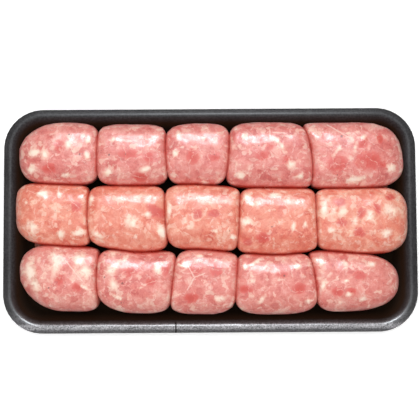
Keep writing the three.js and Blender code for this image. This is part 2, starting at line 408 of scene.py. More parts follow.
def lean_and_fat(finish, noises, colour):
    ragged = weighted(noises, RAGGED_WEIGHTS) - RAGGED_OFFSET
    lean = finish.attribute("lean") + ragged
    colour = coated(finish, colour, lean, LEAN_COATS)
    start, full, strength, _ = LEAN_COATS[0]
    off_lean = 1 - finish.step(lean, start, full) * strength
    pieces = finish.lumps(noises["frayed"], FLECK_SIZE) + noises["mottle"] * 0.3
    flecks = finish.step(pieces, *FLECK_EDGE) * off_lean
    colour = finish.mix(flecks * FLECK_STRENGTH, colour, FAT_CREAM)
    return coated(finish, colour, finish.attribute("fat") + ragged, FAT_COATS)


print("coats", len(LEAN_COATS), "of lean,", len(FAT_COATS), "of fat")

# %% [markdown]
# The casing shows as fine white veins all over and as a few longer threads with places of their
# own. Black pepper is there as single specks, again the largest with their own places, and as a
# faint dust. All of it is too thin to have a shape, so it is drawn by distance: to the edge of a
# cell, to a line, or to a point.

# %% Casing and pepper
VEIN_WHITE = (0.95, 0.72, 0.62, 1)
PEPPER_BROWN = (0.10, 0.05, 0.04, 1)
# The specks of pepper that show from above, as (x, y, radius) in millimetres.
PEPPER = [
    (-83.5, 41.6, 0.8), (-64.5, 41.4, 0.8), (-90.5, 54.8, 0.7), (-54.0, 41.8, 0.5), (85.0, 52.5, 1.0),
    (31.5, 46.5, 0.6), (82.0, 27.5, 0.5), (-103.0, -43.5, 0.7), (-67.5, -37.0, 0.7), (-56.0, -41.0, 0.9),
    (47.0, -36.8, 0.8), (39.5, -5.5, 0.7), (12.5, -8.0, 0.5), (-57.0, -53.5, 0.5), (3.0, 41.0, 0.5),
]
# The threads of casing that show from above, as two ends (x, y) in millimetres.
THREADS = [
    ((-14.1, -30.4), (-10.2, -37.5)), ((-10.2, -37.5), (-3.7, -35.0)), ((-10.2, -37.5), (-14.7, -45.3)),
    ((-97.6, 22.0), (-97.4, 14.5)), ((76.5, 60.5), (89.0, 52.0)), ((-92.3, -26.4), (-81.6, -39.3)),
    ((38.8, 57.5), (38.8, 53.0)), ((40.8, 55.3), (48.5, 54.8)),
]
THREAD_WIDTH = 0.55
THREAD_STRENGTH = 0.55
# Veins, small specks and dust: how far apart they are in millimetres, and, as shares of that
# spacing, the distances at which they start and are full.
VEIN_SPACING = 13.0
VEIN_EDGE = (0.035, 0.012)
VEIN_STRENGTH = 0.35
SPECK_SPACING = 15.0
SPECK_EDGE = (0.034, 0.022)
DUST_SPACING = 3.4
DUST_EDGE = (0.13, 0.06)
DUST_STRENGTH = 0.3
PEPPER_STRENGTH = 0.7


def casing_and_pepper(finish, noises, colour):
    point = noises["point"]
    vein_gap = finish.cells(finish.shifted(noises["torn"], 3.0, 3.0), VEIN_SPACING, "DISTANCE_TO_EDGE")
    broken = finish.step(noises["mottle"], 0.42, 0.58)
    vein = finish.step(vein_gap, *VEIN_EDGE) * broken
    colour = finish.mix(vein * VEIN_STRENGTH, colour, VEIN_WHITE)

    from_above = finish.flat(finish.shifted(point, 1.2, 0.9))
    threads = [finish.thread(from_above, start, end, THREAD_WIDTH) for start, end in THREADS]
    upper_side = 1 - finish.attribute("flank")
    colour = finish.mix(finish.largest(threads) * upper_side * THREAD_STRENGTH, colour, VEIN_WHITE)

    dust = finish.step(finish.cells(point, DUST_SPACING), *DUST_EDGE)
    colour = finish.mix(dust * DUST_STRENGTH, colour, PEPPER_BROWN)
    specks = [finish.step(finish.cells(point, SPECK_SPACING), *SPECK_EDGE)]
    specks += [finish.near(from_above, x, y, radius) for x, y, radius in PEPPER]
    return finish.mix(finish.largest(specks) * PEPPER_STRENGTH, colour, PEPPER_BROWN)


print("placed", len(PEPPER), "specks and", len(THREADS), "threads")

# %% [markdown]
# Where two links press together the seam is painted shade: a deep red that stands for the shadow
# in the crease and for the light that has passed through a lot of meat. Low on a link's flank a
# painted shade pulls the colour towards one even pink, where the side turns from the light. The
# skin is moist: rather smooth, with patches of clear coat that make the highlights break up. Light
# enters the meat, so it has some subsurface scattering.

# %% The finish of the links
# Painted shade: the seam red darkens the creases where links press together.
SEAM_SHADE_RED = (0.50, 0.028, 0.011, 1)
SEAM_SHADE_STRENGTH = 0.93
# Painted shade for the low flank of each link.
FLANK_SHADE_PINK = (0.76, 0.29, 0.26, 1)
FLANK_SHADE_STRENGTH = 0.3
HEIGHT_WEIGHTS = {"mottle": 0.55, "grain": 0.25, "large": 0.2}
WET_SIZE = 3.0
COAT_SIZE = 4.5
SCATTER_REACH = 2 * MM


def pork_finish():
    finish = Finish("raw_sausage")
    noises = meat_noises(finish)
    point = noises["point"]
    colour = ground_colour(finish, noises)
    colour = lean_and_fat(finish, noises, colour)
    colour = casing_and_pepper(finish, noises, colour)
    # Painted shade: low on each link's flank the colour is pulled towards one even pink.
    colour = finish.mix(finish.attribute("flank") * FLANK_SHADE_STRENGTH, colour, FLANK_SHADE_PINK)
    # Painted shade: the seams between links and between rows go deep red.
    colour = finish.mix(finish.attribute("pressed") * SEAM_SHADE_STRENGTH, colour, SEAM_SHADE_RED)
    return finish.surface({
        "Base Color": colour,
        "Roughness": 0.18 + finish.noise(point, WET_SIZE, 3.0, 0.6) * 0.26,
        "Specular IOR Level": 0.75,
        "Subsurface Weight": 0.12,
        "Subsurface Radius": (1.0, 0.35, 0.22),
        "Subsurface Scale": SCATTER_REACH,
        "IOR": 1.42,
        "Coat Weight": finish.step(finish.noise(point, COAT_SIZE, 3.0, 0.6), 0.38, 0.62) * 0.6,
        "Coat Roughness": 0.16,
        "Normal": finish.bump(weighted(noises, HEIGHT_WEIGHTS), 0.35, 0.6),
    })


pork = pork_finish()
print(pork.name, "has", len(pork.node_tree.nodes), "nodes")

# %% [markdown]
# Every link is a rounded box bent into the cell that its neighbours leave it. Four long lines
# run along the rows: the outer edges of the back and the front row, and the two seams between
# rows. A few given points, joined by a smooth curve, are enough for each.

# %% Long lines
BACK_LINE = [
    (-112, 64.0), (-92, 64.2), (-50, 62.8), (-5, 63.2), (36, 63.6), (80, 63.1), (105, 63.4),
]
BACK_SEAM = [
    (-125, 24.7), (-98, 23.3), (-50, 22.1), (-12, 22.8), (18, 20.9), (60, 20.0), (98, 19.7),
    (125, 21.1),
]
FRONT_SEAM = [
    (-125, -14.1), (-95, -16.8), (-70, -18.1), (-46, -21.0), (-10, -19.3), (20, -21.9), (45, -23.3),
    (72, -21.0), (98, -22.7), (125, -22.5),
]
FRONT_LINE = [
    (-100, -58.9), (-88, -59.3), (-46, -60.8), (-5, -61.6), (42, -62.0), (68, -61.3), (95, -60.0),
    (110, -58.9),
]


def along(line, x):
    """A smooth curve y(x) through a few points, level past its ends."""
    xs, ys = np.array(line, dtype=float).T
    slopes = np.empty(len(xs))
    slopes[1:-1] = (ys[2:] - ys[:-2]) / (xs[2:] - xs[:-2])
    slopes[0] = (ys[1] - ys[0]) / (xs[1] - xs[0])
    slopes[-1] = (ys[-1] - ys[-2]) / (xs[-1] - xs[-2])
    held = np.clip(x, xs[0], xs[-1])
    i = np.clip(np.searchsorted(xs, held, side="right") - 1, 0, len(xs) - 2)
    span = xs[i + 1] - xs[i]
    t = (held - xs[i]) / span
    ease = t * t * (3 - 2 * t)
    bend = t * (1 - t) * (slopes[i] * (1 - t) - slopes[i + 1] * t) * span
    return ys[i] + (ys[i + 1] - ys[i]) * ease + bend


heights = [float(along(line, 0)) for line in (BACK_LINE, BACK_SEAM, FRONT_SEAM, FRONT_LINE)]
print("rows", [round(back - front, 1) for back, front in zip(heights, heights[1:])], "mm wide at x = 0")

# %% [markdown]
# Six seams cross each row. Each is a curve over the row's width: where it stands at mid-width, how
# far it leans, and how far it bows. Between the lines and the seams, a point of a link has its
# own coordinates u, v and w from -1 to 1. The millimetres follow the solids closely, with the
# corners a little rounder and a few seams moved by a millimetre or two, as the photo shows them.

# %% Rows
# For each row: its back and front lines, then its seams as (x at mid-width, lean, bow), and its
# links as the height of the top and the powers of those corners that aren't the usual ones.
ROWS = {
    "back": {
        "lines": (BACK_LINE, BACK_SEAM),
        "seams": [
            (-124.7, 0, 0), (-72.8, 0.4, 0.3), (-28.4, -0.9, 1.6), (12.3, 1.5, -1.1),
            (65.9, -2.6, -3.0), (126.2, -3.1, -0.7),
        ],
        "links": [
            (37.2, {"left_back": 1.95, "left_front": 3.3, "right_front": 3.7}),
            (37.9, {"left_back": 3.6, "left_front": 3.9, "right_back": 3.7, "right_front": 3.8}),
            (37.3, {"left_back": 3.1, "right_back": 3.4, "left_front": 4.2, "right_front": 3.4}),
            (38.0, {"left_back": 3.6, "right_back": 4.8, "left_front": 5, "right_front": 8}),
            (37.5, {"left_back": 9, "left_front": 8, "right_back": 3.05, "right_front": 3.1}),
        ],
        "peach": 0.0,
    },
    "middle": {
        "lines": (BACK_SEAM, FRONT_SEAM),
        "seams": [
            (-126.7, 0, 0), (-79.0, -0.2, 1.7), (-28.9, -1.2, 1.4), (18.8, 1.0, -0.7),
            (68.5, -0.9, 0.5), (128.8, 0, 0),
        ],
        "links": [
            (37.0, {"left_back": 4.2, "left_front": 3.0, "right_back": 5.5, "right_front": 5}),
            (37.6, {"left_back": 4.6, "right_back": 4.2, "left_front": 4.1, "right_front": 4.6}),
            (37.9, {"left_back": 4.4, "right_back": 6.5, "left_front": 3.7, "right_front": 4.8}),
            (37.3, {"left_back": 4.2, "right_back": 6, "left_front": 6, "right_front": 5.4}),
            (37.8, {"left_back": 5, "left_front": 5.4, "right_back": 3.3, "right_front": 3.3}),
        ],
        "peach": 1.0,
    },
    "front": {
        "lines": (FRONT_SEAM, FRONT_LINE),
        "seams": [
            (-123.8, -2.4, 0), (-73.1, 0.1, 1.8), (-24.1, 2.6, 0), (16.7, 1.4, 0.3),
            (67.6, -2.8, -1.5), (122.4, 0, 0),
        ],
        "links": [
            (37.4, {"left_back": 2.3, "left_front": 1.85, "right_back": 6.5, "right_front": 4.8}),
            (37.8, {"left_back": 4.2, "left_front": 2.3, "right_back": 4.8}),
            (37.2, {"left_back": 3.7, "right_back": 4.8, "right_front": 3}),
            (37.9, {"left_back": 5.4, "left_front": 3.4, "right_front": 3.4, "right_back": 4.8}),
            (37.3, {"left_back": 9, "left_front": 3.8, "right_back": 2.15, "right_front": 2.4}),
        ],
        "peach": 0.1,
    },
}


def seam_at(seam, v):
    at, lean, bow = seam
    return at + lean * v + bow * v * v


def pressed_sides(row, number):
    """On which sides a link has a neighbour."""
    back_line, front_line = row["lines"]
    return {
        "left": number > 0,
        "right": number < len(row["links"]) - 1,
        "front": front_line is not FRONT_LINE,
        "back": back_line is not BACK_LINE,
    }


for name, row in ROWS.items():
    print(name, "row", round(row["seams"][-1][0] - row["seams"][0][0], 1), "mm long")

# %% [markdown]
# The rounded box is a superquadric: the higher the power of a corner, the squarer it is. Pressed
# ends are flatter towards the top and have a dimple at the twist of casing, open ends and sides
# tuck in towards the tray's floor, and neighbours overlap a little, so that no gap opens between
# them. One formula for all links keeps them alike, and their own numbers make them differ.

# %% From a link's own coordinates to the tray
END_SQUEEZE = 1.1
SIDE_SQUEEZE = 0.7
END_PRESS = 1.8
LINK_BOTTOM = 4.3
WAIST = 22.5
TOP_POWER = 2.7
BOTTOM_POWER = 2.8
PRESSED_CORNER = 7
OPEN_CORNER = 4
TUCK = 3.2
TUCK_POWER = 1.5
LUMP_HEIGHT = 0.5
LUMP_LENGTH = 13
LUMP_TURN_X = 1.7
LUMP_TURN_Y = 0.9
TWIST_LEVEL = 14
DIMPLE_DEPTH = 2
DIMPLE_RADIUS = 5


def rounded(row, number, unit):
    """Stretches directions to the surface of the link's rounded box, in its own coordinates."""
    u, v, w = unit.T
    pressed = pressed_sides(row, number)
    special = row["links"][number][1]
    corner = np.empty(len(u))
    for side, at_side in (("left", u < 0), ("right", u >= 0)):
        for face, at_face in (("front", v < 0), ("back", v >= 0)):
            usual = PRESSED_CORNER if pressed[face] else OPEN_CORNER
            corner[at_side & at_face] = special.get(side + "_" + face, usual)
    power = np.where(w < 0, BOTTOM_POWER, TOP_POWER)
    plan = np.abs(u) ** corner + np.abs(v) ** corner
    stretch = (plan ** (power / corner) + np.abs(w) ** power) ** (-1 / power)
    return unit * stretch[:, None]


def placed(row, number, own):
    """From a link's own coordinates to millimetres in the tray."""
    u, v, w = own.T
    back_line, front_line = row["lines"]
    pressed = pressed_sides(row, number)
    top = row["links"][number][0]
    left = seam_at(row["seams"][number], v) - END_SQUEEZE * pressed["left"]
    right = seam_at(row["seams"][number + 1], v) + END_SQUEEZE * pressed["right"]
    height = np.where(w > 0, top - WAIST, WAIST - LINK_BOTTOM)
    middle = (left + right) / 2
    half_width = (along(back_line, middle) - along(front_line, middle)) / 2

    pressed_end = np.where(u < 0, pressed["left"], pressed["right"])
    press = 1 + np.where(pressed_end, END_PRESS, 0) * np.maximum(w, 0) ** 2
    u = np.sign(u) * (1 - (1 - np.abs(u)) ** press)
    from_twist = np.hypot(v * half_width, WAIST + w * height - TWIST_LEVEL)
    dimple = DIMPLE_DEPTH * np.exp(-(from_twist / DIMPLE_RADIUS) ** 2)
    tuck = TUCK * np.maximum(-w, 0) ** TUCK_POWER
    x = left + (right - left) * (u + 1) / 2 - np.sign(u) * np.where(pressed_end, dimple, tuck * u * u)

    front = along(front_line, x) - SIDE_SQUEEZE * pressed["front"]
    back = along(back_line, x) + SIDE_SQUEEZE * pressed["back"]
    pressed_side = np.where(v < 0, pressed["front"], pressed["back"])
    y = front + (back - front) * (v + 1) / 2 - np.where(pressed_side, 0, np.sign(v) * tuck * v * v)
    lump = np.sin(x / LUMP_LENGTH + LUMP_TURN_X * number) * np.cos(y / LUMP_LENGTH + LUMP_TURN_Y * number)
    z = WAIST + w * height + np.maximum(w, 0) * LUMP_HEIGHT * lump
    return np.stack([x, y, z], axis=1)


def own_point(row, number, u, v, w):
    """One place in a link, by its own coordinates."""
    return placed(row, number, np.array([[u, v, w]], dtype=float))[0]


print("the first link's top stands at", own_point(ROWS["back"], 0, 0, 0, 1).round(1))

# %% [markdown]
# The largest pieces of fat that show from above are listed one by one, each as (x, y, half
# length, half width, turn in degrees) in millimetres. They aren't shapes of their own: a link's
# mesh stores how deep inside a chunk each point lies, and the finish tears the edges.

# %% Chunks of fat
FAT = {
    "link_1_1": [(-113, 43, 4, 3.4, 0), (-106, 42, 3, 4, 0), (-91, 48, 2.6, 4.2, 0),
                 (-79, 41, 2.2, 3, 20), (-115, 32, 2.6, 2.6, 0), (-78, 51, 2.5, 2, 60),
                 (-93, 29, 3, 2, 0)],
    "link_1_2": [(-65, 31, 2.8, 3, 0), (-62, 51, 2, 2, 0), (-41, 32, 4, 1.8, 20)],
    "link_1_3": [(-20, 53, 2, 4, 0), (-22, 42, 2, 2.6, 0), (-3, 23, 2.5, 2, 0)],
    "link_1_4": [(20, 28, 4, 2.6, 0), (52, 34, 3.6, 3.4, 0), (23, 53, 3, 3, 0), (58, 27, 2.4, 2, 0),
                 (43, 50, 2.4, 2.6, 0), (47, 46, 1.8, 2.2, 0)],
    "link_1_5": [(91, 51, 1.7, 3.6, 20), (94, 24.8, 8, 2.8, 6), (99, 52, 1.6, 2, 0), (117, 32, 3, 3, 0),
                 (82, 43, 5, 1.3, 50), (92, 41, 1.3, 8, -22)],
    "link_2_1": [(-96, -9, 3.2, 3, 0), (-107, 17, 4.5, 2.5, 0), (-118, 11, 1.6, 1.6, 0),
                 (-97, 16, 1.2, 3.4, 0), (-114, -4.5, 5, 4, -30), (-84, -8.5, 4.6, 2.4, 15)],
    "link_2_2": [(-50.8, -1.7, 5, 4.8, 0), (-40, 3, 2.4, 2, 0), (-72, -10, 4, 2.2, -35),
                 (-76, 13, 1.8, 3.4, 0), (-31, -8, 3.2, 5, 0)],
    "link_2_3": [(-26, 5, 1.6, 5, 0), (-13, -5, 2.6, 2.6, 0), (15, -12, 2.4, 1.8, 0), (3, -8, 2.4, 1.6, 0)],
    "link_2_4": [(23, -2, 4, 3, 0), (53, -6, 1.5, 4, -20), (24, 14, 3, 2, 0), (61, -4, 1.5, 3, 10),
                 (27, 9, 2, 1.6, 0), (42, 15, 5, 1.6, 0)],
    "link_2_5": [(73.2, 6, 2.6, 6, 5), (85, 4, 2.4, 4.2, -25), (103, 0.5, 3.8, 3.8, 0),
                 (113, -10, 5, 3.2, 30), (79, 4.4, 2, 3, 0), (78, -8, 3.4, 2, 0), (93, -2, 2, 2.6, 0),
                 (115.5, 4.5, 5.5, 4.2, 0)],
    "link_3_1": [(-115, -33, 5, 7.5, 8), (-111.5, -41, 3.6, 6.5, 25), (-98, -27.5, 5, 9, 3),
                 (-84, -26.5, 4.2, 5, 0), (-79.5, -33, 4.6, 4.8, 0), (-81, -43, 4.6, 1.1, -32)],
    "link_3_2": [(-63, -32.5, 4, 3.4, 0), (-33.5, -31.5, 2.6, 4.8, 10), (-61.5, -42, 3.4, 4.2, 0),
                 (-55, -26, 4, 1.5, 40), (-62, -22, 2.2, 3, 20), (-59, -50, 3.4, 1.4, -30),
                 (-44, -44, 1, 1, 0)],
    "link_3_3": [(5, -51, 3.4, 2, 0), (-19, -30, 3.2, 0.9, -35), (-6, -24, 3, 1.4, 0)],
    "link_3_4": [(29, -28, 6, 1.4, 30), (33, -51, 1.6, 5, -35), (56, -31, 2.6, 2, 0),
                 (62, -53, 2.6, 1.6, 0), (22, -31, 1.4, 2.4, 20), (27, -40, 2, 1.6, 0)],
    "link_3_5": [(72, -43, 1.8, 4.4, -22), (88, -49, 2.6, 1.8, 0), (97, -52, 2.6, 1.6, 40),
                 (71, -28, 1.6, 3.4, 0), (86, -30, 2, 3.4, 0), (103, -30, 3.6, 2, 20), (87, -40, 3, 1, 40)],
}
CHUNK_FADE = 1.5


def depth_inside(points, chunks):
    """1 in the middle of a chunk, 0 at CHUNK_FADE times its half sizes or further out."""
    depth = np.zeros(len(points))
    for x, y, half_length, half_width, turned in chunks:
        cos, sin = math.cos(math.radians(turned)), math.sin(math.radians(turned))
        dx, dy = points[:, 0] - x, points[:, 1] - y
        across = np.hypot((dx * cos + dy * sin) / half_length, (dy * cos - dx * sin) / half_width)
        depth = np.maximum(depth, 1 - across / CHUNK_FADE)
    return depth


print("chunks of fat", sum(map(len, FAT.values())))

# %% [markdown]
# Lean pieces are placed in the same way. Links differ in how pale their ground is as well.

# %% Chunks of lean, and paleness
LEAN = {
    "link_1_1": [(-96, 47, 4, 4, 0), (-103, 33, 5, 3, 0)],
    "link_1_2": [(-39, 40, 3, 4, 0), (-45, 27, 5, 2.6, 0), (-52, 42, 7, 3, 0)],
    "link_1_3": [(-11, 40, 4, 5, 20), (3, 40, 3.6, 3, 0)],
    "link_1_4": [(34, 40, 4, 3, 0), (38, 46, 2.6, 2.6, 0), (50, 36, 3, 5, 20)],
    "link_1_5": [(81.5, 34.5, 7, 6.5, 0), (102, 36.5, 9.5, 5.6, 0), (110, 50.5, 1.9, 3.6, 12),
                 (98.5, 48, 2.8, 4, -15), (110, 34, 3, 2.6, 0)],
    "link_2_1": [(-86, 8, 3.4, 3.4, 0)],
    "link_2_2": [(-34.5, 4.5, 6.5, 4, -35)],
    "link_2_3": [(-8, 3, 3, 3, 0), (3, 3, 4, 2.6, 0)],
    "link_2_4": [(34, -12.5, 4, 3.4, 0), (24, -15, 3, 2.4, 0)],
    "link_2_5": [(95.5, -9.5, 3.6, 3.2, 0), (84, -3, 3.2, 3, 0), (83, 10, 4, 3, 0), (116, 13, 3, 2.4, 0),
                 (97, 3, 3, 3.6, 0), (107, 6, 2.2, 4, 20)],
    "link_3_1": [(-85, -43, 3.4, 3, 0), (-96, -38, 3, 4, 0)],
    "link_3_2": [(-50.5, -33.5, 6, 3.2, 10), (-28.5, -32, 2.6, 4, 0), (-38, -40, 3.4, 3, 0)],
    "link_3_3": [(-9, -31.5, 4.4, 4, 0), (-12.5, -50, 4.6, 3.6, 0), (4, -33, 4, 4, 0)],
    "link_3_4": [(56, -45, 5, 3.6, 0), (22, -45, 5, 3, 0), (46, -36, 3.6, 3, 0)],
    "link_3_5": [(90, -47, 3, 3, 0), (81, -47, 3.4, 3, 0), (95, -37, 4, 3, 0)],
}
PALENESS = {
    "link_1_3": -0.02, "link_1_4": -0.04, "link_2_2": -0.02, "link_2_4": -0.05, "link_2_5": 0.035,
    "link_3_1": 0.02, "link_3_2": -0.045, "link_3_3": -0.02,
}
print("chunks of lean", sum(map(len, LEAN.values())))

# %% [markdown]
# The finish reads a few more numbers from the mesh, above all how near a point is to a seam, which
# sets how strong the painted seam shade is there. It could be worked out with nodes too, but the
# seams are curves, and numpy measures them at once.

# %% Fields on the mesh
SEAM_REACH = 2.0
# How strong the painted seam shade is, between links of a row and between rows.
END_SEAM_SHADE = 0.6
SIDE_SEAM_SHADE = 1.0


def fade(values, low, high):
    """0 below low, 1 above high, and a smooth slope between them."""
    t = np.clip((values - low) / (high - low), 0, 1)
    return t * t * (3 - 2 * t)


def seam_shade(row, number, own, points):
    """Strength of the painted seam shade: most between rows, less between links, 0 further off."""
    back_line, front_line = row["lines"]
    x, y, _ = points.T
    v = own[:, 1]
    gaps = {
        "left": (END_SEAM_SHADE, x - seam_at(row["seams"][number], v)),
        "right": (END_SEAM_SHADE, seam_at(row["seams"][number + 1], v) - x),
        "front": (SIDE_SEAM_SHADE, y - along(front_line, x)),
        "back": (SIDE_SEAM_SHADE, along(back_line, x) - y),
    }
    nearness = np.zeros(len(points))
    for side, pressed in pressed_sides(row, number).items():
        darkness, gap = gaps[side]
        if pressed:
            nearness = np.maximum(nearness, darkness * (1 - fade(gap, 0.0, SEAM_REACH)))
    return nearness


def store(mesh, name, values):
    """Keeps one number for each point, for the finish to read."""
    layer = mesh.attributes.new(name, "FLOAT", "POINT")
    layer.data.foreach_set("value", values.astype(np.float32))


print("half as deep a red", SEAM_REACH / 2, "mm from a seam")

# %% [markdown]
# A link starts as a cube with a fine grid on each face, so it has no poles. Its points are pushed
# out to the rounded box and bent into the cell. Coarse meat shows through casing as low relief,
# about a third of a millimetre, strongest on the open upper side. It is made by moving the points
# along their normals, so that it shows in the outline and in the highlights.

# %% One link
GRID_CUTS = 44
RELIEF = 0.33
# The clouds of the relief, as (size in millimetres, seed).
RELIEF_CLOUDS = [(7.0, 5.0), (3.4, 11.0)]
CLOUD_SHARE = 0.6
FAT_SHARE = 0.5
# Where fat starts to swell and is full, as a depth in a chunk.
FAT_SWELL = (0.1, 0.6)
# Where the open side and the flank start and end, as the height w in a link.
OPEN_SIDE = (-0.05, 0.4)
FLANK = (0.1, 0.6)


def cloud(points, size, seed):
    """Smooth noise with lumps about size millimetres across, from -1 to 1."""
    shifted = points / size + seed
    return np.array([noise.noise(Vector(point)) for point in shifted])


def triples(items, name):
    """Reads one vector from each item of a mesh, as an array with three columns."""
    values = np.empty(len(items) * 3)
    items.foreach_get(name, values)
    return values.reshape(-1, 3)


def move_points(mesh, points):
    mesh.vertices.foreach_set("co", (points * MM).ravel())
    mesh.update()


def smooth(piece):
    piece.data.polygons.foreach_set("use_smooth", [True] * len(piece.data.polygons))


def unit_cube():
    cube = bmesh.new()
    bmesh.ops.create_cube(cube, size=2.0)
    bmesh.ops.subdivide_edges(cube, edges=cube.edges[:], cuts=GRID_CUTS, use_grid_fill=True)
    bmesh.ops.recalc_face_normals(cube, faces=cube.faces[:])
    return cube


def link(row, number, name):
    piece = piece_from(unit_cube(), name)
    mesh = piece.data
    own = rounded(row, number, triples(mesh.vertices, "co"))
    points = placed(row, number, own)
    move_points(mesh, points)

    w = own[:, 2]
    fat = depth_inside(points, FAT[name]) * (w > 0)
    lean = depth_inside(points, LEAN[name]) * (w > 0)
    relief = sum(CLOUD_SHARE * cloud(points, size, seed) for size, seed in RELIEF_CLOUDS)
    relief = (relief + FAT_SHARE * fade(fat, *FAT_SWELL)) * RELIEF * fade(w, *OPEN_SIDE)
    points += triples(mesh.vertex_normals, "vector") * relief[:, None]
    move_points(mesh, points)

    store(mesh, "fat", fat)
    store(mesh, "lean", lean)
    # Painted shade: how deep the seam red is near each pressed seam, and how low on the flank.
    store(mesh, "pressed", seam_shade(row, number, own, points))
    store(mesh, "flank", 1 - fade(w, *FLANK))
    store(mesh, "peach", np.full(len(points), row["peach"]))
    store(mesh, "paleness", np.full(len(points), PALENESS.get(name, 0.0)))
    smooth(piece)
    mesh.materials.append(pork)
    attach(piece, "root")
    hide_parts("sausage_string")
    return piece


print("each link has", 6 * (GRID_CUTS + 1) ** 2, "faces")

# %% The fifteen links
links = []
for row_number, row in enumerate(ROWS.values(), start=1):
    for number in range(len(row["links"])):
        links.append(link(row, number, f"link_{row_number}_{number + 1}"))
print(len(links), "links,", sum(len(piece.data.polygons) for piece in links), "faces")

# %% [markdown]
# Between two links the casing is twisted into a short rope. The twists hide between the pressed
# ends, and at the folds and at both ends of the string they lie low at the foot of the tray's
# wall. Each is a cylinder cut into rings, with every ring turned a little further than the last.

# %% A twist of casing
TWIST_RADIUS = 2.9
TWIST_GROOVE = 0.35
TWIST_STRANDS = 3
TWIST_TURNS = 1.2
TWIST_SIDES = 24
TWIST_RINGS = 14


def add_twist(bm, start, end, taper=1.0):
    """One twisted rope of casing between two points in millimetres."""
    start, end = Vector(start), Vector(end)
    axis = end - start
    known_verts, known_edges = len(bm.verts), len(bm.edges)
    bmesh.ops.create_cone(bm, cap_ends=True, segments=TWIST_SIDES, radius1=1.0, radius2=1.0, depth=1.0)
    bm.edges.ensure_lookup_table()
    sides = [edge for edge in bm.edges[known_edges:] if edge.verts[0].co.z * edge.verts[1].co.z < 0]
    bmesh.ops.subdivide_edges(bm, edges=sides, cuts=TWIST_RINGS)
    bm.verts.ensure_lookup_table()
    turn = axis.to_track_quat("Z", "X")
    for vert in bm.verts[known_verts:]:
        share = vert.co.z + 0.5
        angle = math.atan2(vert.co.y, vert.co.x)
        strand = math.cos(TWIST_STRANDS * (angle + share * TWIST_TURNS * math.tau))
        radius = (TWIST_RADIUS + TWIST_GROOVE * strand) * (1 + (taper - 1) * share)
        off = Vector((math.cos(angle) * radius, math.sin(angle) * radius, share * axis.length))
        vert.co = (start + turn @ off) * MM


print("a twist has", TWIST_STRANDS, "strands and", TWIST_TURNS, "turns")

# %% Twists of the whole string
HALF_TWIST = 4.5
FOLD_HEIGHT = 11.5
FOLD_REACH = 9
FOLD_INSET = 13
TAIL_START = 0.7
TAIL_END = 0.86
TAIL_LENGTH = 3.6
TAIL_DEPTH = 0.58
TAIL_TAPER = 0.7

twists = bmesh.new()
for row in ROWS.values():
    for x, _, _ in row["seams"][1:-1]:
        y = (along(row["lines"][0], x) + along(row["lines"][1], x)) / 2
        add_twist(twists, (x - HALF_TWIST, y, TWIST_LEVEL), (x + HALF_TWIST, y, TWIST_LEVEL))
for seam_line, x in (
    (BACK_SEAM, ROWS["middle"]["seams"][-1][0] - FOLD_INSET),
    (FRONT_SEAM, ROWS["middle"]["seams"][0][0] + FOLD_INSET),
):
    y = along(seam_line, x)
    add_twist(twists, (x, y - FOLD_REACH, FOLD_HEIGHT), (x, y + FOLD_REACH, FOLD_HEIGHT))
for row, number, side in ((ROWS["back"], 0, -1), (ROWS["front"], 4, 1)):
    inside = own_point(row, number, side * TAIL_START, 0, -TAIL_DEPTH)
    tip = own_point(row, number, side * TAIL_END, 0, -TAIL_DEPTH) + (side * TAIL_LENGTH, 0, 0)
    add_twist(twists, inside, tip, TAIL_TAPER)
bmesh.ops.recalc_face_normals(twists, faces=twists.faces[:])
casing_twists = piece_from(twists, "casing_twists")
print("twists", len(casing_twists.data.polygons), "faces")

# %% [markdown]
# The twists lie low in shade, so their colour is painted darker than casing: a dull brownish red
# with paler streaks. One noise does for its colour, its roughness and its relief, because all
# three follow the strands.

# %% The finish of the twists
# Both tones are painted shade, darker than the casing of the links.
SHADED_CASING_DARK = (0.26, 0.07, 0.05, 1)
SHADED_CASING_LIGHT = (0.46, 0.20, 0.15, 1)


def casing_finish():
    finish = Finish("twisted_casing")
    streaks = finish.noise(finish.place(), 1.5, 3.0, 0.6)
    return finish.surface({
        "Base Color": finish.mix(streaks, SHADED_CASING_DARK, SHADED_CASING_LIGHT),
        "Roughness": 0.5 + streaks * 0.2,
        "Specular IOR Level": 0.25,
        "Subsurface Weight": 0.3,
        "Subsurface Scale": 3 * MM,
        "Normal": finish.bump(streaks, 0.3, 0.3),
    })


casing_twists.data.materials.append(casing_finish())
smooth(casing_twists)
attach(casing_twists, "root")
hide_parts("sausage_string")
print("finish of", casing_twists.name, "is", casing_twists.data.materials[0].name)

# %% [markdown]
# The tray is pressed from a sheet of foam about 3 mm thick. Its wall leans out to a soft crest,
# and a lip slopes gently down and out from there to a rounded edge. The section is drawn once, as
# points with an inset and a height, and then goes all the way round.

# %% The tray's section
TRAY_LENGTH = 273
TRAY_WIDTH = 148
TRAY_CORNER = 26
# The section as (inset from the outer edge, height), from the underside over the lip to the floor.
SECTION = [
    (26, 0), (16.6, 0), (15.2, 0.12), (14.1, 0.6), (13.2, 1.6), (12.4, 3.0), (8.6, 9.2), (5.4, 14.2),
    (4.4, 15.4), (3.2, 16.0), (1.4, 16.3), (0.6, 16.5), (0.12, 16.9), (0, 17.5), (0.12, 18.1),
    (0.45, 18.6), (0.95, 18.93), (1.6, 19.2), (2.3, 19.5), (3.0, 19.78), (3.7, 19.95), (4.3, 20.0),
    (5.0, 19.9), (5.7, 19.6), (6.4, 19.1), (7.1, 18.4), (7.8, 17.5), (8.6, 16.2), (9.5, 14.5),
    (10.8, 12.0), (12.2, 9.3), (13.2, 7.4), (14.4, 5.8), (15.8, 4.7), (17.4, 4.12),
    (19.2, 4.0), (28, 4.0),
]


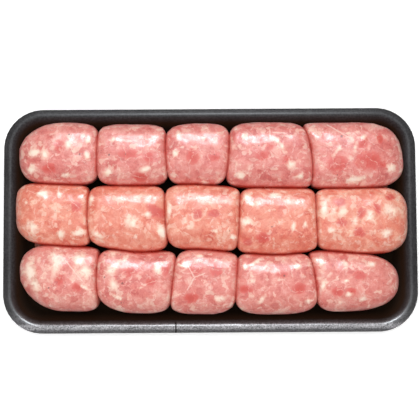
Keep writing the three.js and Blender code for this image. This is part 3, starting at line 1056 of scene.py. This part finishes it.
def rim_point(share, inset, z):
    """A point of the ring at a share of the way round, set in from the rim's outer edge."""
    radius = TRAY_CORNER - inset
    half_length = TRAY_LENGTH / 2 - TRAY_CORNER
    half_width = TRAY_WIDTH / 2 - TRAY_CORNER
    arc = TRAY_CORNER * math.pi / 2
    # A straight stretch has its length, its direction outwards and its start; a corner has its
    # length, its middle and the quarter that it turns through.
    stretches = (
        (half_width, (1, 0), 0, None), (arc, (half_length, half_width), None, 0),
        (2 * half_length, (0, 1), -half_length, None), (arc, (-half_length, half_width), None, 1),
        (2 * half_width, (-1, 0), -half_width, None), (arc, (-half_length, -half_width), None, 2),
        (2 * half_length, (0, -1), -half_length, None), (arc, (half_length, -half_width), None, 3),
        (half_width, (1, 0), -half_width, None),
    )
    run = share * 4 * (half_length + half_width + arc)
    for number, (length, spot, start, quarter) in enumerate(stretches):
        if run <= length or number == len(stretches) - 1:
            break
        run -= length
    if quarter is None:
        slide = start + run
        x = spot[0] * (half_length + radius) - spot[1] * slide
        y = spot[1] * (half_width + radius) + spot[0] * slide
    else:
        angle = (quarter + run / length) * math.pi / 2
        x, y = spot[0] + radius * math.cos(angle), spot[1] + radius * math.sin(angle)
    return Vector((x, y, z)) * MM


print("section", len(SECTION), "points, crest", max(z for _, z in SECTION), "mm high")

# %% [markdown]
# A rounded rectangle is drawn once as a ring of edges, and the section is swept by extruding that
# ring again and again, each time set further in or out and to its own height. The mesh also keeps
# how far down the inner side a point lies, because the light in the tray fades towards its floor.

# %% Sweep the section
RING_POINTS = 192
INNER_WALL = (4.5, 15.0)


def tray_shell():
    shell = bmesh.new()
    inner = shell.verts.layers.float.new("inner")
    ring = bmesh.ops.create_circle(shell, segments=RING_POINTS, radius=1.0)["verts"]
    shares = {vert: (math.atan2(vert.co.y, vert.co.x) / math.tau) % 1 for vert in ring}
    for vert in ring:
        vert.co = rim_point(shares[vert], *SECTION[0])
    first_edges = shell.edges[:]
    edges = first_edges
    upper = False
    for inset, z in SECTION[1:]:
        upper = upper or inset == 0
        grown = bmesh.ops.extrude_edge_only(shell, edges=edges)["geom"]
        new_verts = {part for part in grown if isinstance(part, bmesh.types.BMVert)}
        for vert in new_verts:
            ends = [edge.other_vert(vert) for edge in vert.link_edges]
            old = [end for end in ends if end not in new_verts]
            shares[vert] = shares[old[0]]
            vert.co = rim_point(shares[vert], inset, z)
            vert[inner] = float(fade(inset, *INNER_WALL)) if upper else 0.0
        edges = [edge for edge in shell.edges if new_verts.issuperset(edge.verts)]
    bmesh.ops.contextual_create(shell, geom=first_edges)
    bmesh.ops.contextual_create(shell, geom=edges)
    bmesh.ops.recalc_face_normals(shell, faces=shell.faces[:])
    return shell


tray = piece_from(tray_shell(), "foam_tray")
smooth(tray)
print("tray", len(tray.data.polygons), "faces")

# %% [markdown]
# Black foam is covered in beads about a millimetre wide, in tones from near black to grey. Down
# the inner side the colour is painted shade: brown-black on the wall and darker on the floor, the
# brown standing for light thrown back by the meat. The front lip is paler in specks, partly from
# wear and partly as painted glints, and most along its crest, where the paleness is a painted
# highlight. A hairline crack, drawn in painted shade, runs out to the edge. Everything is told
# apart by place: the field kept on the mesh says how far down the wall a point is, and its y says
# how near the front.

# %% The finish of the tray
LIP_GREYS = ((0.016, 0.015, 0.016, 1), (0.050, 0.048, 0.051, 1))
# Painted shade: the wall and floor browns, the floor one also used for the crack.
WALL_SHADE_BROWN = (0.034, 0.015, 0.007, 1)
FLOOR_SHADE_BROWN = (0.010, 0.005, 0.002, 1)
# Wear and a painted highlight on the front lip and its crest.
WORN_AND_HIGHLIGHT_GREY = (0.62, 0.61, 0.64, 1)
# Where things start and are full, as y in millimetres. The front edge lies at -74.
FRONT_LIP = (-58.0, -66.0)
CREST_HIGHLIGHT_OUTSIDE = (-72.4, -70.8)
CREST_HIGHLIGHT_INSIDE = (-67.2, -69.2)
NEAR_SIDE = (-25.0, -62.0)
CRACK_Y = (-66.5, -67.5)
CRACK_X = -22.8
CRACK_WIDTH = 0.7
# Where things start and are full down the inner side, from 0 at the crest to 1 at the floor.
LIP = (0.35, 0.03)
WALL = (0.05, 0.45)
FLOOR = (0.3, 1.0)
BEAD_SIZE = 1.3
FINE_SIZE = 0.7
CLOUDY_SIZE = 18.0


def foam_finish():
    finish = Finish("tray_foam")
    point = finish.place()
    inner = finish.attribute("inner")
    beads = finish.cells(finish.shifted(point, 2.0, 0.8), BEAD_SIZE)
    fine = finish.noise(point, FINE_SIZE, 2.0, 0.6)
    cloudy = finish.noise(point, CLOUDY_SIZE, 3.0, 0.6)
    shade = finish.step(beads * 0.45 + fine * 0.45 + cloudy * 0.35, 0.35, 0.95)
    colour = finish.mix(shade, *LIP_GREYS)
    # Painted shade, deepening down the inner wall to the floor.
    colour = finish.mix(finish.step(inner, *WALL), colour, WALL_SHADE_BROWN)
    colour = finish.mix(finish.step(inner, *FLOOR), colour, FLOOR_SHADE_BROWN)

    y = finish.axis(point, "Y")
    lip = finish.step(inner, *LIP)
    front = finish.step(y, *FRONT_LIP) * lip
    crest = finish.step(y, *CREST_HIGHLIGHT_OUTSIDE) * finish.step(y, *CREST_HIGHLIGHT_INSIDE)
    off_crack = finish.maths("ABSOLUTE", finish.axis(point, "X") - CRACK_X, 0.0)
    crack = finish.step(off_crack, CRACK_WIDTH, CRACK_WIDTH / 2) * finish.step(y, *CRACK_Y)
    near_side = finish.step(y, *NEAR_SIDE)
    wear_and_glint = finish.step(beads * 0.3 + fine * 0.9, 0.30, 0.95)
    # Wear and painted glints on the front lip, and a painted highlight along its crest.
    colour = finish.mix(front * wear_and_glint * (0.22 + crest * (0.3 + cloudy)), colour, WORN_AND_HIGHLIGHT_GREY)
    # Painted shade in the crack.
    colour = finish.mix(crack * 0.85, colour, FLOOR_SHADE_BROWN)

    rough = 0.34 + cloudy * 0.10 + fine * 0.10 + finish.step(inner, 0.3, 0.9) * 0.45 + crack * 0.5
    return finish.surface({
        "Base Color": colour,
        "Roughness": rough,
        "Specular IOR Level": 0.3,
        "Coat Weight": lip * (0.12 + near_side * 0.9) * (0.75 + fine * 0.5) * (1 - crack * 0.9),
        "Coat Roughness": 0.28,
        "Coat IOR": 1.8,
        "Normal": finish.bump(beads * 0.5 + fine * 0.5, 0.6, 0.3),
    })


tray.data.materials.append(foam_finish())
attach(tray, "root")
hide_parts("tray")
print("finish of", tray.name, "is", tray.data.materials[0].name)

# %% [markdown]
